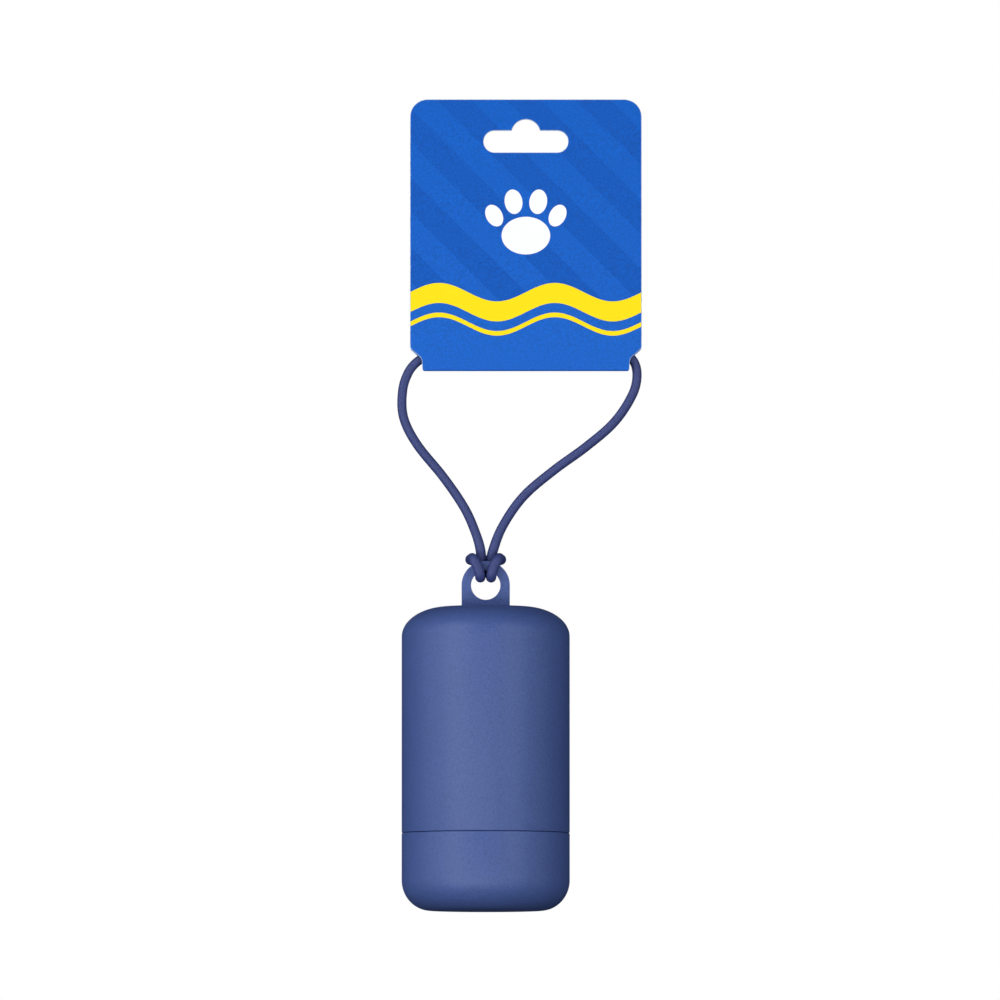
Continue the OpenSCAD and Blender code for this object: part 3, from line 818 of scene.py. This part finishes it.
def makeRoll(filmLook):
    coreR = (coreHigh.x - coreLow.x) / 2
    inner, low = coreR - film["coreWall"], coreLow.z + film["seatGap"]
    bm = bmesh.new()
    tube = addPoints(bm, [(inner, low), (coreR, low), (coreR, coreHigh.z), (inner, coreHigh.z)])
    joinRuns(bm, tube, tube[:1])
    roundCorners(bm, tube, film["coreEdge"], 2)
    spinRound(bm, 96)
    placePiece("card_core", bm, "roll", ["roll_core"], [woundBoard()])

    bm = bmesh.new()
    block = addPoints(bm, [(coreR, rollLow.z), (rollR, rollLow.z),
                           (rollR, rollHigh.z), (coreR, rollHigh.z)])
    joinRuns(bm, block, block[:1])
    roundCorners(bm, block[1:3], film["edge"], 3)
    spinRound(bm, film["columns"], 0)
    # the outer turns run out in a spiral, which ends in the film's step
    stepAngle = 2 * pi / film["columns"]
    for v in bm.verts:
        reach = Vector((v.co.x, v.co.y)).length
        if reach > (coreR + rollR) / 2:
            turn = (atan2(v.co.y, v.co.x) - tailTurn) % (2 * pi)
            reach -= film["step"] * (1 - turn / (2 * pi))
            last = turn > 2 * pi - 1.5 * stepAngle
            angle = turn + tailTurn + (film["stepClose"] * stepAngle if last else 0)
            v.co.x, v.co.y = reach * cos(angle), reach * sin(angle)
    bmesh.ops.translate(bm, vec=(axisX, 0, 0), verts=bm.verts)
    placePiece("film_roll", bm, "roll", ["bag_roll"], [filmLook])


def makeTail(filmLook):
    # the first bag's end is held by the label and stands a little off the roll beside it
    bm = bmesh.new()
    height = (rollHigh.z - rollLow.z) * film["tailHeight"]
    low = (rollHigh.z + rollLow.z - height) / 2
    addPoints(bm, [(rollR, low), (rollR, low + height)])
    bmesh.ops.subdivide_edges(bm, edges=bm.edges[:], cuts=30)
    sweep = film["tailReach"] / rollR
    bmesh.ops.spin(bm, geom=bm.verts[:] + bm.edges[:], cent=(0, 0, 0), axis=(0, 0, 1),
                   angle=sweep, steps=12, use_merge=False)
    labelMid, labelHalf = (stickerLow.z + stickerHigh.z) / 2, (stickerHigh.z - stickerLow.z) / 2
    for v in bm.verts:
        along = atan2(v.co.y, v.co.x) / sweep
        past = abs(v.co.z - labelMid) - labelHalf - film["tailHeld"]
        free = min(max(past, 0) / film["tailFree"], 1)
        free = free ** 2 * (3 - 2 * free)
        ripple = sum(high * sin(v.co.z / long + start) for high, long, start in film["ripples"])
        lift = (film["tailLift"] * along ** 2 + ripple * along) * free
        reach = rollR - film["tailSunk"] + lift
        angle = atan2(v.co.y, v.co.x) + tailTurn
        v.co.x, v.co.y = reach * cos(angle) + axisX, reach * sin(angle)
    tail = placePiece("film_end", bm, "roll", materials=[filmLook])
    wall = tail.modifiers.new("film", "SOLIDIFY")
    wall.thickness, wall.offset = film["tailThick"], 0


def makeLabel():
    bm = bmesh.new()
    addPoints(bm, [(rollR, stickerLow.z), (rollR, stickerHigh.z)])
    bmesh.ops.spin(bm, geom=bm.verts[:] + bm.edges[:], cent=(0, 0, 0), axis=(0, 0, 1),
                   angle=radians(film["labelAngle"]), steps=40, use_merge=False)
    turned = Matrix.Rotation(radians(film["labelTurn"]), 3, "Z")
    bmesh.ops.rotate(bm, cent=(0, 0, 0), matrix=turned, verts=bm.verts)
    bmesh.ops.translate(bm, vec=(axisX, 0, 0), verts=bm.verts)
    bmesh.ops.recalc_face_normals(bm, faces=bm.faces)
    label = placePiece("paper_label", bm, "roll", ["roll_sticker"],
                       [labelPaper()])
    sheet = label.modifiers.new("paper", "SOLIDIFY")
    sheet.thickness, sheet.offset = film["label"], 1


bagFilm = woundFilm()
makeRoll(bagFilm)
makeTail(bagFilm)
makeLabel()
print("roll made")


studio = {
    "floorZ": -0.75, "floorHalf": 8.0,
    "floorGlow": 0.78,
    "glowEnds": (2.3, 4.0),  # metres out between which the glow rises to white
    "surround": 0.01, "surroundTint": (0.92, 0.96, 1, 1),  # the white surroundings as light
    "distance": 0.9,
    # azimuth and elevation in degrees, width and height in metres, power in watts
    "lights": {
        "key": (-46, 12, 0.25, 1.2, 3.75),
        "keyTop": (-45, 40, 0.25, 0.4, 1.4),
        "fill": (38, 8, 0.25, 1.1, 3.2),
        "fillTop": (35, 40, 0.25, 0.4, 0.7),
        "lowFront": (-13, -18, 0.95, 0.3, 4.0),
        "left": (-80, 5, 0.25, 1.0, 1.4),
        "right": (78, 5, 0.25, 1.0, 0.8),
        "back": (180, -4, 0.6, 0.9, 9.0),
    },
}


def makeFloor():
    bm = bmesh.new()
    bmesh.ops.create_grid(bm, x_segments=1, y_segments=1, size=studio["floorHalf"])
    bmesh.ops.translate(bm, vec=(0, 0, studio["floorZ"]), verts=bm.verts)
    # the paper is evenly lit and burns out to white far off, and its glow stays off the object
    material, tree, shader, place = startMaterial(
        "white studio paper", Roughness=0.8, Emission_Color=linear("#FFFFFF"))
    flat = addNode(tree, "ShaderNodeMapping", inputs={"Vector": place, "Scale": (1, 1, 0)})
    reach = addNode(tree, "ShaderNodeVectorMath", {"operation": "LENGTH"}, {
        0: flat.outputs["Vector"]})
    near, far = studio["glowEnds"]
    glow = addNode(tree, "ShaderNodeMapRange", {"interpolation_type": "SMOOTHSTEP"}, {
        "Value": reach.outputs["Value"], "From Min": near, "From Max": far,
        "To Min": studio["floorGlow"], "To Max": 1.0})
    feedShader(shader, Emission_Strength=glow.outputs["Result"])
    floor = placePiece("floor", bm, materials=[material])
    floor.visible_diffuse = floor.visible_glossy = False


def addLight(name, azimuth, elevation, width, height, power):
    data = bpy.data.lights.new(name, "AREA")
    data.shape, data.size, data.size_y, data.energy = "RECTANGLE", width, height, power
    lamp = aimFrom(name, data, azimuth, elevation, studio["distance"])
    lamp.visible_camera = False
    # the back light adds no gloss, which would glare along the outline seen from the front
    lamp.visible_glossy = data.cycles.use_multiple_importance_sampling = name != "back"


def makeSurroundings():
    # the camera sees white paper; as a light it is dimmer, so that the form shows
    world = bpy.data.worlds.new("white studio")
    bpy.context.scene.world = world
    world.use_nodes = True
    tree = world.node_tree
    tree.nodes.clear()
    seen = addNode(tree, "ShaderNodeBackground", inputs={"Color": (1, 1, 1, 1), "Strength": 1.0})
    lit = addNode(tree, "ShaderNodeBackground", inputs={
        "Color": studio["surroundTint"], "Strength": studio["surround"]})
    path = addNode(tree, "ShaderNodeLightPath")
    mix = addNode(tree, "ShaderNodeMixShader", inputs={
        0: path.outputs["Is Camera Ray"], 1: lit.outputs["Background"],
        2: seen.outputs["Background"]})
    addNode(tree, "ShaderNodeOutputWorld", inputs={"Surface": mix.outputs["Shader"]})


makeFloor()
for name, values in studio["lights"].items():
    addLight(name, *values)
makeSurroundings()
bpy.context.scene.view_settings.view_transform = "Standard"
print("studio set")
